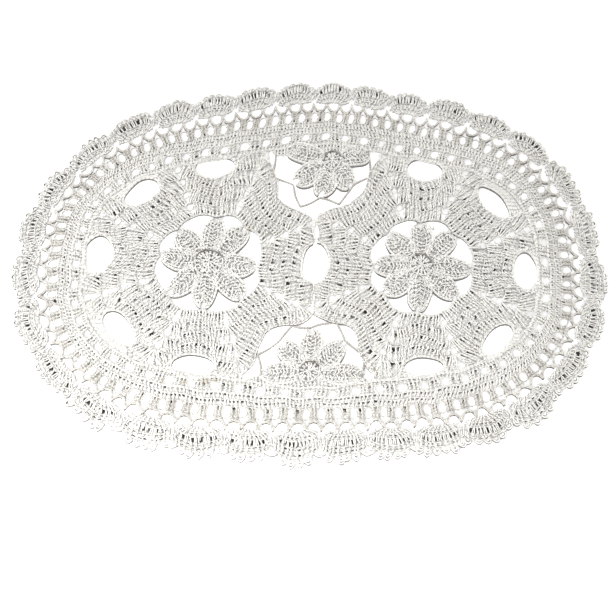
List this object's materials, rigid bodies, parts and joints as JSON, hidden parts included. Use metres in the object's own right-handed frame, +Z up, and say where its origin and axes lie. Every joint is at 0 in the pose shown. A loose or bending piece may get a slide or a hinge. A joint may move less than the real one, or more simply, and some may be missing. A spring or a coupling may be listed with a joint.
{
  "type": "crochet table runner",
  "caption": "Oval crochet lace runner: two star medallions with petalled flowers, half flowers between them, and a wide openwork border with a scalloped edge.",
  "frame": {"origin": "middle of the runner's box, on the surface it lies on", "axes": "+X along the runner, +Y across it to the far side, +Z up"},
  "size_m": [0.4577, 0.3167, 0.0055],
  "materials": {
    "cotton_thread": "matt unbleached cotton"
  },
  "bodies": {
    "root": {"medallion_left": "cotton_thread", "medallion_right": "cotton_thread", "half_flower_top": "cotton_thread", "half_flower_bottom": "cotton_thread", "border": "cotton_thread"}
  },
  "joints": []
}
